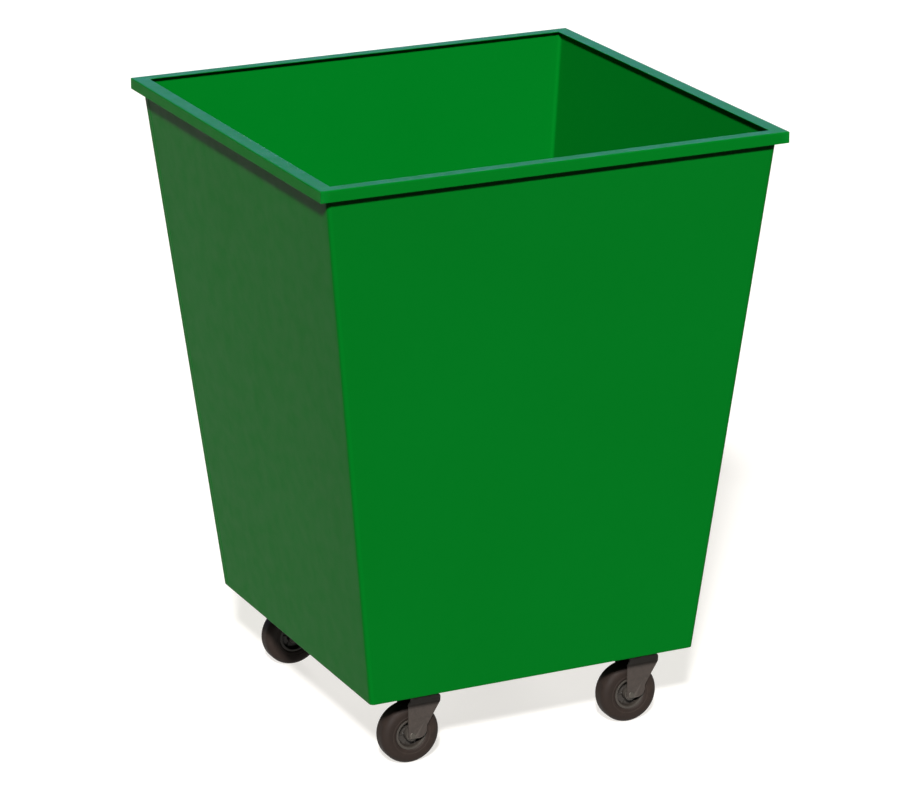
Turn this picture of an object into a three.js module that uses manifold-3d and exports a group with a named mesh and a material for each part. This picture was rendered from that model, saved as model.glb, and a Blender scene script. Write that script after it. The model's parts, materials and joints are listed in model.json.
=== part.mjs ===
// Open-top sheet-steel waste container on four swivel casters.
// Millimetres. +Z is up, +X runs along the wide front face, and the front face looks towards -Y.
// The origin is on the ground, under the middle of the rim.

import * as THREE from "three";
import { mergeVertices } from "three/addons/utils/BufferGeometryUtils.js";
import Module from "manifold-3d";

const wasm = await Module();
wasm.setup();

// ---------------------------------------------------------------- driving dimensions

const GAP = 0.3; // left between neighbouring pieces

// The tub tapers evenly from its top to its underside.
const TUB = {
  underside: 166, // height above the ground
  height: 1085, // underside to the top of the rim
  bottom: { x: 714, y: 751 }, // outer size of the walls at the underside
  top: { x: 957.5, y: 934.5 }, // outer size of the walls at the rim
  sheet: 1.5,
  bendRadius: 9, // outside radius of the four upright bends
  seamSetback: 15, // from the end of a bend to the seam beside it
};
const FLOOR_THICKNESS = 3;

// The rim is a bent angle: a flat top leg over the wall's edge, and a skirt outside it.
// The leg is wider on the left and right rails than on the front and back ones.
const RIM = { x: 991, y: 960, frontLeg: 26, sideLeg: 30.5, skirtHeight: 23, sheet: 1.5, bendRadius: 2 };

// Casters: positions are those of the swivel axes.
const CASTER_X = { left: -214.5, right: 274 };
const CASTER_Y = { front: -297, back: 287 };
const TRAIL = 29; // from the swivel axis back to the wheel's axle, along -X
const WHEEL_RADIUS = 62.5;

const PLATE = { x: 105, y: 85, top: 158, thickness: 3, corner: 6, studX: 80, studY: 60, holeRadius: 4.5 };
const PAD = { x: 115, y: 95, corner: 8, reliefRadius: 12 };
const STUD = { radius: 4, bottom: 148.5 };

const RACE = { bottom: 150.1, outer: 23.5, skirtInner: 20.3, skirtBottom: 145.8 };
const KINGPIN = { radius: 5, headRadius: 9, headHeight: 3.2, bottom: 127.5 };
const KINGPIN_HOLE = KINGPIN.radius + GAP;
const KINGPIN_NUT = { radius: 9.2, height: 5 };

const CROWN = { top: 144.5, thickness: 3 };
const UPPER_BALLS = { ring: 17, ball: 2.5 };
const LOWER_BALLS = { ring: 13, ball: 2 };
const CUP = { radius: 18, thickness: 2.6, rimThickness: 2, rimTop: 140.4 };

const FORK = { halfWidth: 28, sheet: 3, bendRadius: 4 };
const AXLE = { radius: 4, headRadius: 7, headHeight: 2, holeRadius: 4.3 };
const AXLE_NUT = { radius: 7.5, height: 4 };

const TYRE = { halfWidth: 23, boreRadius: 33, boreHalfWidth: 20.5, treadHalfWidth: 7.5, shoulderDepth: 14 };
const CORE = {
  rimHalfWidth: 20,
  rimInner: 28,
  webHalfWidth: 9,
  webRadius: 25,
  bossRadius: 13,
  bossHalfWidth: 24.7,
};
const BEARING = { outer: 8, halfLength: 24.4 };

// Facets on a full turn.
const FACETS = { tyre: 32, core: 20, small: 16, tiny: 12 };

// ---------------------------------------------------------------- materials

function paint(color, roughness, metalness) {
  return () => new THREE.MeshStandardMaterial({ color, roughness, metalness });
}

const greenPaint = paint(0x00761f, 0.45, 0.0);
const darkSteel = paint(0x55504c, 0.55, 0.6);
const zincSteel = paint(0x8d8a86, 0.4, 0.9);
const greyCore = paint(0x4b4846, 0.6, 0.0);
const blackRubber = paint(0x2b2624, 0.8, 0.0);

// ---------------------------------------------------------------- geometry helpers

// One watertight geometry with shared corners and its faces pointing out.
function closed(geometry) {
  const bare = geometry.clone();
  bare.deleteAttribute("normal");
  bare.deleteAttribute("uv");
  const merged = mergeVertices(bare);
  if (signedVolume(merged) < 0) {
    merged.index.array.reverse();
  }
  return merged;
}

function signedVolume(geometry) {
  const [a, b, c] = [new THREE.Vector3(), new THREE.Vector3(), new THREE.Vector3()];
  const { position } = geometry.attributes;
  const index = geometry.index.array;
  let total = 0;
  for (let i = 0; i < index.length; i += 3) {
    a.fromBufferAttribute(position, index[i]);
    b.fromBufferAttribute(position, index[i + 1]);
    c.fromBufferAttribute(position, index[i + 2]);
    total += a.dot(b.cross(c)) / 6;
  }
  return total;
}

function solid(geometry) {
  const { attributes, index } = closed(geometry);
  const mesh = new wasm.Mesh({
    numProp: 3,
    vertProperties: new Float32Array(attributes.position.array),
    triVerts: new Uint32Array(index.array),
  });
  return new wasm.Manifold(mesh);
}

function fromSolid(manifold) {
  const { vertProperties, triVerts } = manifold.getMesh();
  const geometry = new THREE.BufferGeometry();
  geometry.setAttribute("position", new THREE.BufferAttribute(new Float32Array(vertProperties), 3));
  geometry.setIndex(new THREE.BufferAttribute(new Uint32Array(triVerts), 1));
  return geometry;
}

function piece(name, geometry, material) {
  const shape = closed(geometry);
  shape.computeVertexNormals();
  const mesh = new THREE.Mesh(shape, material());
  mesh.name = name;
  return mesh;
}

function extrude(shape, depth, curveSegments = 3) {
  return new THREE.ExtrudeGeometry(shape, { depth, bevelEnabled: false, curveSegments });
}

function polygon(points) {
  return new THREE.Shape(points.map(([x, y]) => new THREE.Vector2(x, y)));
}

function roundedRectangle(width, height, radius) {
  const [x, y] = [width / 2 - radius, height / 2 - radius];
  const shape = new THREE.Shape();
  shape.absarc(x, y, radius, 0, Math.PI / 2);
  shape.absarc(-x, y, radius, Math.PI / 2, Math.PI);
  shape.absarc(-x, -y, radius, Math.PI, 1.5 * Math.PI);
  shape.absarc(x, -y, radius, 1.5 * Math.PI, 2 * Math.PI);
  return shape;
}

// A polygon whose corners are rounded: each point is [x, y, radius].
function roundedPolygon(corners) {
  const shape = new THREE.Shape();
  corners.forEach(([x, y, radius], i) => {
    const here = new THREE.Vector2(x, y);
    const [before, after] = [corners.at(i - 1), corners[(i + 1) % corners.length]].map(
      ([px, py]) => new THREE.Vector2(px, py).sub(here).normalize(),
    );
    const halfAngle = Math.acos(before.dot(after)) / 2;
    const reach = radius / Math.tan(halfAngle);
    const start = before.multiplyScalar(reach).add(here);
    const end = after.multiplyScalar(reach).add(here);
    if (i === 0) {
      shape.moveTo(start.x, start.y);
    } else {
      shape.lineTo(start.x, start.y);
    }
    if (radius > 0) {
      shape.quadraticCurveTo(x, y, end.x, end.y);
    }
  });
  return shape;
}

// Turns a profile of [radius, height] about the wheel's axis, Y.
function turnedAboutY(profile, facets) {
  const points = profile.map(([radius, height]) => new THREE.Vector2(radius, height));
  return new THREE.LatheGeometry(points, facets);
}

// Turns a profile of [radius, height] about the upright axis, Z.
function turnedAboutZ(profile, facets) {
  return turnedAboutY(profile, facets).rotateX(Math.PI / 2);
}

// Profiles of a plain round bar and of a plain round ring.
function column(radius, low, high) {
  return [[0, low], [radius, low], [radius, high], [0, high]];
}

function ring(inner, outer, low, high) {
  return [[inner, low], [outer, low], [outer, high], [inner, high], [inner, low]];
}

// A hexagon nut about Y or Z, with a plain round hole.
function nut(turned, radius, holeRadius, low, high) {
  const hexagon = turned(column(radius, low, high), 6);
  const hole = turned(column(holeRadius, low - 1, high + 1), FACETS.tiny);
  return fromSolid(solid(hexagon).subtract(solid(hole)));
}

// ---------------------------------------------------------------- tub

const RIM_TOP = TUB.underside + TUB.height;
const WALL_TOP = RIM_TOP - RIM.sheet - GAP;

// Outer half size of the walls at a height above the ground.
function wallHalf(axis, height) {
  const rise = (height - TUB.underside) / TUB.height;
  return (TUB.bottom[axis] + (TUB.top[axis] - TUB.bottom[axis]) * rise) / 2;
}

// Extrudes an outline drawn at the height `low` up to `high`, and moves each top corner out with the walls.
function taperedPrism(shape, low, high) {
  const geometry = extrude(shape, high - low, 4);
  const { position } = geometry.attributes;
  const spreadX = wallHalf("x", high) - wallHalf("x", low);
  const spreadY = wallHalf("y", high) - wallHalf("y", low);
  for (let i = 0; i < position.count; i += 1) {
    if (position.getZ(i) > 0) {
      position.setX(i, position.getX(i) + Math.sign(position.getX(i)) * spreadX);
      position.setY(i, position.getY(i) + Math.sign(position.getY(i)) * spreadY);
    }
  }
  return geometry.translate(0, 0, low);
}

function taperedBlock(inset, low, high) {
  const width = 2 * (wallHalf("x", low) - inset);
  const depth = 2 * (wallHalf("y", low) - inset);
  return taperedPrism(roundedRectangle(width, depth, TUB.bendRadius - inset), low, high);
}

// The walls are two bent sheets. Each holds two whole walls' worth of sheet: one side, one bend,
// the next side and a second bend with a narrow return, where it is butt-welded to the other sheet.
function wallSheet(facing) {
  const past = 20;
  const [low, high] = [TUB.underside, WALL_TOP];
  const outer = solid(taperedBlock(0, low, high));
  const inner = solid(taperedBlock(TUB.sheet, low - past, high + past));
  const farX = wallHalf("x", low - past) + past;
  const farY = wallHalf("y", low - past) + past;
  const nearX = farX / 2;
  const clear = GAP / 2;
  const seam = wallHalf("y", low - past) - TUB.bendRadius - TUB.seamSetback;
  const half = polygon([
    [facing * farX, -facing * (seam + clear)],
    [facing * farX, -facing * farY],
    [-facing * farX, -facing * farY],
    [-facing * farX, facing * (seam - clear)],
    [-facing * nearX, facing * (seam - clear)],
    [facing * nearX, -facing * (seam + clear)],
  ]);
  const cutter = solid(taperedPrism(half, low - past, high + past));
  return fromSolid(outer.subtract(inner).intersect(cutter));
}

function floorPlate() {
  const low = TUB.underside + GAP;
  const inset = TUB.sheet + GAP;
  const [width, depth] = [TUB.bottom.x - 2 * inset, TUB.bottom.y - 2 * inset];
  const outline = roundedRectangle(width, depth, TUB.bendRadius - TUB.sheet);
  return extrude(outline, FLOOR_THICKNESS, 4).translate(0, 0, low);
}

// The rim's section: x runs inwards from the skirt's outer face, y is the height.
function rimSection(legWidth) {
  const { skirtHeight, sheet, bendRadius } = RIM;
  return roundedPolygon([
    [0, -skirtHeight, 0],
    [sheet, -skirtHeight, 0],
    [sheet, -sheet, bendRadius - sheet],
    [legWidth, -sheet, 0],
    [legWidth, 0, 0],
    [0, 0, bendRadius],
  ]);
}

// A rail of the rim along +X, standing at y = -offset. Both ends are mitred to rails with the leg `nextLeg`.
function rimRail(length, offset, leg, nextLeg) {
  const geometry = extrude(rimSection(leg), length);
  const { position } = geometry.attributes;
  for (let i = 0; i < position.count; i += 1) {
    const mitre = (position.getX(i) * nextLeg) / leg + GAP;
    position.setZ(i, position.getZ(i) > 0 ? length - mitre : mitre);
  }
  const [inwards, upwards, along] = [
    new THREE.Vector3(0, 1, 0),
    new THREE.Vector3(0, 0, 1),
    new THREE.Vector3(1, 0, 0),
  ];
  geometry.applyMatrix4(new THREE.Matrix4().makeBasis(inwards, upwards, along));
  return geometry.translate(-length / 2, -offset, RIM_TOP);
}

function tub() {
  const group = new THREE.Group();
  group.add(piece("front_left_wall_sheet", wallSheet(1), greenPaint));
  group.add(piece("back_right_wall_sheet", wallSheet(-1), greenPaint));
  group.add(piece("floor_plate", floorPlate(), greenPaint));
  const { x, y, frontLeg, sideLeg } = RIM;
  const rails = [
    ["rim_rail_front", x, y / 2, frontLeg, sideLeg],
    ["rim_rail_right", y, x / 2, sideLeg, frontLeg],
    ["rim_rail_back", x, y / 2, frontLeg, sideLeg],
    ["rim_rail_left", y, x / 2, sideLeg, frontLeg],
  ];
  rails.forEach(([name, length, offset, leg, nextLeg], side) => {
    const rail = piece(name, rimRail(length, offset, leg, nextLeg), greenPaint);
    rail.rotation.z = (side * Math.PI) / 2;
    group.add(rail);
  });
  return group;
}

// ---------------------------------------------------------------- caster, about its swivel axis

function studPlaces() {
  const [x, y] = [PLATE.studX / 2, PLATE.studY / 2];
  return [[x, y], [-x, y], [-x, -y], [x, -y]];
}

// A pad welded under the floor, with four welded studs that pass through the caster's plate.
function mountingPad() {
  const [low, high] = [PLATE.top + GAP, TUB.underside];
  const outline = roundedRectangle(PAD.x, PAD.y, PAD.corner);
  const relief = turnedAboutZ(column(PAD.reliefRadius, low - 1, high + 1), FACETS.tiny);
  let pad = solid(extrude(outline, high - low).translate(0, 0, low)).subtract(solid(relief));
  const sunk = (low + high) / 2;
  for (const [x, y] of studPlaces()) {
    const stud = turnedAboutZ(column(STUD.radius, STUD.bottom, sunk), FACETS.tiny);
    pad = pad.add(solid(stud.translate(x, y, 0)));
  }
  return fromSolid(pad);
}

// The caster's top plate with its pressed upper race and dust skirt.
function topPlate() {
  const low = PLATE.top - PLATE.thickness;
  const middle = low + PLATE.thickness / 2;
  const outline = roundedRectangle(PLATE.x, PLATE.y, PLATE.corner);
  const race = [
    [0, RACE.bottom],
    [RACE.skirtInner, RACE.bottom],
    [RACE.skirtInner, RACE.skirtBottom],
    [RACE.outer, RACE.skirtBottom],
    [RACE.outer, middle],
    [0, middle],
  ];
  const pinHole = column(KINGPIN_HOLE, RACE.bottom - 1, PLATE.top + 1);
  let plate = solid(extrude(outline, PLATE.thickness).translate(0, 0, low))
    .add(solid(turnedAboutZ(race, FACETS.core)))
    .subtract(solid(turnedAboutZ(pinHole, FACETS.tiny)));
  for (const [x, y] of studPlaces()) {
    const hole = turnedAboutZ(column(PLATE.holeRadius, low - 1, PLATE.top + 1), FACETS.tiny);
    plate = plate.subtract(solid(hole.translate(x, y, 0)));
  }
  return fromSolid(plate);
}

function kingpin() {
  const seat = PLATE.top + GAP;
  const head = seat + KINGPIN.headHeight;
  const profile = [
    [0, KINGPIN.bottom],
    [KINGPIN.radius, KINGPIN.bottom],
    [KINGPIN.radius, seat],
    [KINGPIN.headRadius, seat],
    [KINGPIN.headRadius, head],
    [0, head],
  ];
  return turnedAboutZ(profile, FACETS.tiny);
}

function ballRing({ ring: radius, ball }, height) {
  return new THREE.TorusGeometry(radius, ball, 6, FACETS.small).translate(0, 0, height);
}

const UPPER_BALL_HEIGHT = (CROWN.top + RACE.bottom) / 2;
const CROWN_BOTTOM = CROWN.top - CROWN.thickness;
const LOWER_BALL_HEIGHT = CROWN_BOTTOM - LOWER_BALLS.ball - GAP / 2;
const CUP_TOP = LOWER_BALL_HEIGHT - LOWER_BALLS.ball - GAP / 2;
const CUP_BOTTOM = CUP_TOP - CUP.thickness;

// The cup that carries the lower balls, clamped on the kingpin.
function lowerCup() {
  const rimInner = CUP.radius - CUP.rimThickness;
  const profile = [
    [KINGPIN_HOLE, CUP_BOTTOM],
    [CUP.radius, CUP_BOTTOM],
    [CUP.radius, CUP.rimTop],
    [rimInner, CUP.rimTop],
    [rimInner, CUP_TOP],
    [KINGPIN_HOLE, CUP_TOP],
    [KINGPIN_HOLE, CUP_BOTTOM],
  ];
  return turnedAboutZ(profile, FACETS.small);
}

function kingpinNut() {
  const high = CUP_BOTTOM - GAP;
  return nut(turnedAboutZ, KINGPIN_NUT.radius, KINGPIN_HOLE, high - KINGPIN_NUT.height, high);
}

// The fork's side outline, [distance forward of the swivel axis, height, corner radius].
function forkSide() {
  const [back, front] = [-38.5, 32.5];
  const foot = WHEEL_RADIUS - 7;
  return roundedPolygon([
    [back, foot, 4],
    [1.3, foot, 17],
    [1.5, 80, 5],
    [front - 1, 127.5, 4],
    [front, CROWN.top, 8],
    [back + 6, CROWN.top, 1],
    [back + 6, 138, 2],
    [back, 128, 3],
  ]);
}

// The fork seen along X: a folded strap with its crown on top.
function forkFront() {
  const { halfWidth, sheet, bendRadius } = FORK;
  const foot = WHEEL_RADIUS - 20;
  const inner = halfWidth - sheet;
  return roundedPolygon([
    [halfWidth, foot, 0],
    [halfWidth, CROWN.top, bendRadius],
    [-halfWidth, CROWN.top, bendRadius],
    [-halfWidth, foot, 0],
    [-inner, foot, 0],
    [-inner, CROWN_BOTTOM, bendRadius - sheet],
    [inner, CROWN_BOTTOM, bendRadius - sheet],
    [inner, foot, 0],
  ]);
}

function fork() {
  const reach = 60;
  const outline = extrude(forkSide(), 2 * reach).rotateX(Math.PI / 2).translate(0, reach, 0);
  const strap = extrude(forkFront(), 2 * reach);
  const [across, up, along] = [
    new THREE.Vector3(0, 1, 0),
    new THREE.Vector3(0, 0, 1),
    new THREE.Vector3(1, 0, 0),
  ];
  strap.applyMatrix4(new THREE.Matrix4().makeBasis(across, up, along)).translate(-reach, 0, 0);
  const pinHole = column(KINGPIN_HOLE, CROWN_BOTTOM - 1, CROWN.top + 1);
  const axleHole = column(AXLE.holeRadius, -reach, reach);
  const bore = turnedAboutY(axleHole, FACETS.tiny).translate(-TRAIL, 0, WHEEL_RADIUS);
  return fromSolid(
    solid(strap)
      .intersect(solid(outline))
      .subtract(solid(turnedAboutZ(pinHole, FACETS.tiny)))
      .subtract(solid(bore)),
  );
}

// ---------------------------------------------------------------- wheel, about its axle

function tyre() {
  const { halfWidth, boreRadius, boreHalfWidth, treadHalfWidth, shoulderDepth } = TYRE;
  const shoulder = [0, 1, 2, 3].map((step) => {
    const angle = (step * Math.PI) / 6;
    return [
      WHEEL_RADIUS - shoulderDepth * (1 - Math.sin(angle)),
      treadHalfWidth + (halfWidth - treadHalfWidth) * Math.cos(angle),
    ];
  });
  // One side of the section, from the bore out to the flat of the tread.
  const side = [[boreRadius, boreHalfWidth], [boreRadius + 5, halfWidth - 1], ...shoulder];
  const otherSide = side.map(([radius, y]) => [radius, -y]);
  return turnedAboutY([...otherSide, ...side.reverse(), otherSide[0]], FACETS.tyre);
}

function wheelCore() {
  const { rimHalfWidth, rimInner, webHalfWidth, webRadius, bossRadius, bossHalfWidth } = CORE;
  const rimOuter = TYRE.boreRadius - GAP;
  const boreRadius = BEARING.outer + GAP;
  const half = [
    [boreRadius, bossHalfWidth],
    [bossRadius, bossHalfWidth],
    [bossRadius, webHalfWidth],
    [webRadius, webHalfWidth],
    [rimInner, rimHalfWidth],
    [rimOuter, rimHalfWidth],
  ];
  const otherHalf = half.map(([radius, y]) => [radius, -y]);
  return turnedAboutY([...otherHalf, ...half.reverse(), otherHalf[0]], FACETS.core);
}

function bearing() {
  const { outer, halfLength } = BEARING;
  return turnedAboutY(ring(AXLE.holeRadius, outer, -halfLength, halfLength), FACETS.small);
}

const FORK_FACE = FORK.halfWidth + GAP;

function axle() {
  const head = -FORK_FACE - AXLE.headHeight;
  const tail = FORK_FACE + AXLE_NUT.height + 1;
  const profile = [
    [0, head],
    [AXLE.headRadius - 2, head],
    [AXLE.headRadius, -FORK_FACE - 0.6],
    [AXLE.headRadius, -FORK_FACE],
    [AXLE.radius, -FORK_FACE],
    [AXLE.radius, tail],
    [0, tail],
  ];
  return turnedAboutY(profile, FACETS.tiny);
}

function axleNut() {
  return nut(turnedAboutY, AXLE_NUT.radius, AXLE.holeRadius, FORK_FACE, FORK_FACE + AXLE_NUT.height);
}

// ---------------------------------------------------------------- caster assembly

function caster(place, x, y) {
  const named = (part) => `${place}_${part}`;
  const group = new THREE.Group();
  group.position.set(x, y, 0);
  group.add(piece(named("mounting_pad"), mountingPad(), greenPaint));
  group.add(piece(named("caster_plate"), topPlate(), darkSteel));
  group.add(piece(named("kingpin"), kingpin(), zincSteel));
  group.add(piece(named("kingpin_nut"), kingpinNut(), zincSteel));
  group.add(piece(named("lower_cup"), lowerCup(), darkSteel));
  group.add(piece(named("upper_ball_ring"), ballRing(UPPER_BALLS, UPPER_BALL_HEIGHT), zincSteel));
  group.add(piece(named("lower_ball_ring"), ballRing(LOWER_BALLS, LOWER_BALL_HEIGHT), zincSteel));
  group.add(piece(named("fork"), fork(), darkSteel));

  const wheel = new THREE.Group();
  wheel.position.set(-TRAIL, 0, WHEEL_RADIUS);
  wheel.add(piece(named("axle"), axle(), zincSteel));
  wheel.add(piece(named("axle_nut"), axleNut(), zincSteel));
  wheel.add(piece(named("wheel_bearing"), bearing(), zincSteel));
  wheel.add(piece(named("wheel_core"), wheelCore(), greyCore));
  wheel.add(piece(named("tyre"), tyre(), blackRubber));
  group.add(wheel);
  return group;
}

const model = new THREE.Group();
model.add(tub());
model.add(caster("front_left", CASTER_X.left, CASTER_Y.front));
model.add(caster("front_right", CASTER_X.right, CASTER_Y.front));
model.add(caster("back_left", CASTER_X.left, CASTER_Y.back));
model.add(caster("back_right", CASTER_X.right, CASTER_Y.back));

export default model;
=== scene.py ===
# Looks of an open-top sheet-steel waste container on four swivel casters.
# Metres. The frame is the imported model's: +Z up, ground at z = 0, the wide front face towards -Y.

import json
import math

import bmesh
import bpy
from mathutils import Matrix, Vector, noise


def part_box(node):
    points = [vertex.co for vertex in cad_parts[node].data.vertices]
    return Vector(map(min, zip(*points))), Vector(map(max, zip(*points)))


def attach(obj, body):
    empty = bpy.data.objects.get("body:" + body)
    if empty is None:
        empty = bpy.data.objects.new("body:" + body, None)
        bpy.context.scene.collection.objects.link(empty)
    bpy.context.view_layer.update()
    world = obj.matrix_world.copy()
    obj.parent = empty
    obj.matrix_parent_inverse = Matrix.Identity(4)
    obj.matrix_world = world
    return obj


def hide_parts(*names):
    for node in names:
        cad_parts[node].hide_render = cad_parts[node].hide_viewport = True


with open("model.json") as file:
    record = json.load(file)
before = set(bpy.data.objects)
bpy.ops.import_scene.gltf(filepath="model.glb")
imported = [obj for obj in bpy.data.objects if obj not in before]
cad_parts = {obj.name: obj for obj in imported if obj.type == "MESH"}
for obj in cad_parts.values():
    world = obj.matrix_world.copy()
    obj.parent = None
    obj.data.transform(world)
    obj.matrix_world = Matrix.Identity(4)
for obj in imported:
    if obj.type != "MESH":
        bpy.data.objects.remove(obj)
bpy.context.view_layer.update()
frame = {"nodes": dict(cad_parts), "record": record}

MM = 0.001
PLACES = ("front_left", "front_right", "back_left", "back_right")
TAU = 2 * math.pi


# ------------------------------------------------------------------ sizes read from the frame

def middle(node):
    low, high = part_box(node)
    return (low + high) / 2


def size(node):
    low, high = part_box(node)
    return high - low


SHEET = 1.5 * MM
GAP = 0.3 * MM
BEND_RADIUS = 9 * MM
SEAM_SETBACK = 15 * MM

RIM_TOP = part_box("rim_rail_front")[1].z
RIM_HALF_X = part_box("rim_rail_right")[1].x
RIM_HALF_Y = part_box("rim_rail_back")[1].y
FRONT_LEG = size("rim_rail_front").y
SIDE_LEG = size("rim_rail_right").x
RIM_SKIRT = size("rim_rail_front").z

WALL_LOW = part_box("front_left_wall_sheet")[0].z
WALL_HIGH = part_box("front_left_wall_sheet")[1].z
TOP_HALF = Vector((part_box("front_left_wall_sheet")[1].x, -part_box("front_left_wall_sheet")[0].y))
BOTTOM_HALF = Vector((size("floor_plate").x / 2 + SHEET + GAP, size("floor_plate").y / 2 + SHEET + GAP))
FLOOR_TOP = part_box("floor_plate")[1].z


def wall_half(z):
    """Outer half sizes of the walls, along X and Y, at height z."""
    rise = (z - WALL_LOW) / (WALL_HIGH - WALL_LOW)
    return BOTTOM_HALF.lerp(TOP_HALF, rise)


# ------------------------------------------------------------------ camera

CAMERA_AZIMUTH = math.radians(-25.283)
CAMERA_ELEVATION = math.radians(18.307)
CAMERA_ROLL = -0.0034
CAMERA_PLACE = (-3.5282, -7.456, 3.3769)
CAMERA_LENS = 171.33


def make_camera():
    azimuth, elevation = CAMERA_AZIMUTH, CAMERA_ELEVATION
    back = Vector((
        math.sin(azimuth) * math.cos(elevation),
        -math.cos(azimuth) * math.cos(elevation),
        math.sin(elevation),
    ))
    right = Vector((math.cos(azimuth), math.sin(azimuth), 0))
    up = back.cross(right)
    turn = Matrix((right, up, back)).transposed() @ Matrix.Rotation(CAMERA_ROLL, 3, "Z")
    data = bpy.data.cameras.new("camera")
    data.lens = CAMERA_LENS
    data.clip_end = 100
    camera = bpy.data.objects.new("camera", data)
    camera.matrix_world = Matrix.Translation(CAMERA_PLACE) @ turn.to_4x4()
    bpy.context.scene.collection.objects.link(camera)
    bpy.context.scene.camera = camera


# ------------------------------------------------------------------ material nodes

class Nodes:
    """A material with short calls for the nodes used here."""

    def __init__(self, name):
        self.material = bpy.data.materials.new(name)
        self.material.use_nodes = True
        self.tree = self.material.node_tree
        self.shader = self.tree.nodes["Principled BSDF"]
        self.place = self.node("ShaderNodeTexCoord").outputs["Object"]

    def node(self, kind, **settings):
        made = self.tree.nodes.new(kind)
        for key, value in settings.items():
            setattr(made, key, value)
        return made

    def link(self, source, target):
        self.tree.links.new(source, target)

    def noise(self, scale, detail=2.0, roughness=0.5):
        made = self.node("ShaderNodeTexNoise")
        made.inputs["Scale"].default_value = scale
        made.inputs["Detail"].default_value = detail
        made.inputs["Roughness"].default_value = roughness
        self.link(self.place, made.inputs["Vector"])
        return made.outputs["Fac"]

    def ramp(self, value, low, high, start=0.0, end=1.0):
        made = self.node("ShaderNodeMapRange", clamp=True)
        made.inputs["From Min"].default_value = low
        made.inputs["From Max"].default_value = high
        made.inputs["To Min"].default_value = start
        made.inputs["To Max"].default_value = end
        self.link(value, made.inputs["Value"])
        return made.outputs["Result"]

    def math(self, operation, a, b):
        made = self.node("ShaderNodeMath", operation=operation, use_clamp=True)
        for socket, value in zip(made.inputs, (a, b)):
            if isinstance(value, (int, float)):
                socket.default_value = value
            else:
                self.link(value, socket)
        return made.outputs["Value"]

    def mix(self, factor, a, b):
        made = self.node("ShaderNodeMix", data_type="RGBA")
        self.link(factor, made.inputs["Factor"])
        for socket, value in ((made.inputs[6], a), (made.inputs[7], b)):
            if isinstance(value, tuple):
                socket.default_value = (*value, 1)
            else:
                self.link(value, socket)
        return made.outputs[2]

    def wear(self):
        """1 on sharp edges, 0 on flats and on wide bends."""
        edge = self.node("ShaderNodeAttribute", attribute_name="edge").outputs["Fac"]
        return self.ramp(edge, 0.5, 0.9)

    def coordinate(self, axis):
        """One of the object's own coordinates, in metres."""
        made = self.node("ShaderNodeSeparateXYZ")
        self.link(self.place, made.inputs["Vector"])
        return made.outputs[axis]

    def bump(self, layers):
        """Stacks bumps of (height, strength, distance)."""
        normal = None
        for value, strength, distance in layers:
            made = self.node("ShaderNodeBump")
            made.inputs["Strength"].default_value = strength
            made.inputs["Distance"].default_value = distance
            self.link(value, made.inputs["Height"])
            if normal:
                self.link(normal, made.inputs["Normal"])
            normal = made.outputs["Normal"]
        self.link(normal, self.shader.inputs["Normal"])

    def set(self, **values):
        for key, value in values.items():
            socket = self.shader.inputs[key.replace("_", " ")]
            if isinstance(value, (int, float)):
                socket.default_value = value
            else:
                self.link(value, socket)


def srgb(red, green, blue):
    def linear(value):
        value /= 255
        return value / 12.92 if value <= 0.04045 else ((value + 0.055) / 1.055) ** 2.4
    return tuple(linear(value) for value in (red, green, blue))


PAINT_IOR = 1.08
GREEN_DEEP = (0.0, 0.153, 0.0107)
GREEN_FRESH = (0.0, 0.158, 0.0115)
GREEN_RUBBED = (0.002, 0.19, 0.022)
PAINTED_LIFT_FROM = 128 * MM  # height above the ground from which a fork and its plate are painted lighter, offsetting the tub's shadow there
CORE_RECESS_SHADE = (13 * MM, 19 * MM)  # distance from a wheel's middle plane: painted shade inside it, none beyond


def green_paint():
    """Green paint with faint tones and dust, rubbed and chipped at its edges."""
    m = Nodes("green_paint")
    base = m.mix(m.ramp(m.noise(2.5, 3), 0.3, 0.7), GREEN_DEEP, GREEN_FRESH)
    dusty = m.math("MULTIPLY", m.ramp(m.noise(45, 4, 0.6), 0.4, 0.8), 0.012)
    base = m.mix(dusty, base, srgb(40, 130, 60))
    wear = m.wear()
    base = m.mix(m.math("MULTIPLY", wear, 0.5), base, GREEN_RUBBED)
    chips = m.math("MULTIPLY", wear, m.ramp(m.noise(160, 4, 0.7), 0.62, 0.7))
    base = m.mix(m.math("MULTIPLY", chips, 0.6), base, srgb(70, 74, 66))
    m.link(base, m.shader.inputs["Base Color"])
    m.set(Roughness=m.ramp(m.noise(30, 3), 0.3, 0.7, 0.36, 0.44))
    m.set(IOR=PAINT_IOR, Metallic=0.0)
    m.bump([(m.noise(420, 2), 0.08, 0.1 * MM), (m.noise(9, 2), 0.1, 0.2 * MM)])
    return m.material


def dark_steel():
    """Dark pressed steel, blotched and slightly rusty, with painted light near the top of a caster, where
    the tub's shadow falls.
    """
    m = Nodes("dark_steel")
    blotch = m.noise(110, 5, 0.65)
    base = m.mix(m.ramp(blotch, 0.35, 0.7), srgb(61, 55, 51), srgb(74, 66, 61))
    rust = m.math("MULTIPLY", m.ramp(m.noise(40, 5, 0.7), 0.6, 0.75), 0.3)
    base = m.mix(rust, base, srgb(84, 64, 50))
    # Painted light: the top of the caster is lightened to offset the tub's shadow that falls on it.
    painted_lift = m.ramp(m.coordinate("Z"), PAINTED_LIFT_FROM, PAINTED_LIFT_FROM + 2 * MM, 0.0, 0.7)
    base = m.mix(painted_lift, base, srgb(84, 80, 77))
    base = m.mix(m.math("MULTIPLY", m.wear(), 0.35), base, srgb(112, 105, 98))
    m.link(base, m.shader.inputs["Base Color"])
    m.set(Roughness=m.ramp(blotch, 0.3, 0.7, 0.5, 0.65), Metallic=0.1)
    m.shader.inputs["Specular IOR Level"].default_value = 0.25
    m.bump([(m.noise(600, 3), 0.2, 0.1 * MM), (blotch, 0.2, 0.2 * MM)])
    return m.material


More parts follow.
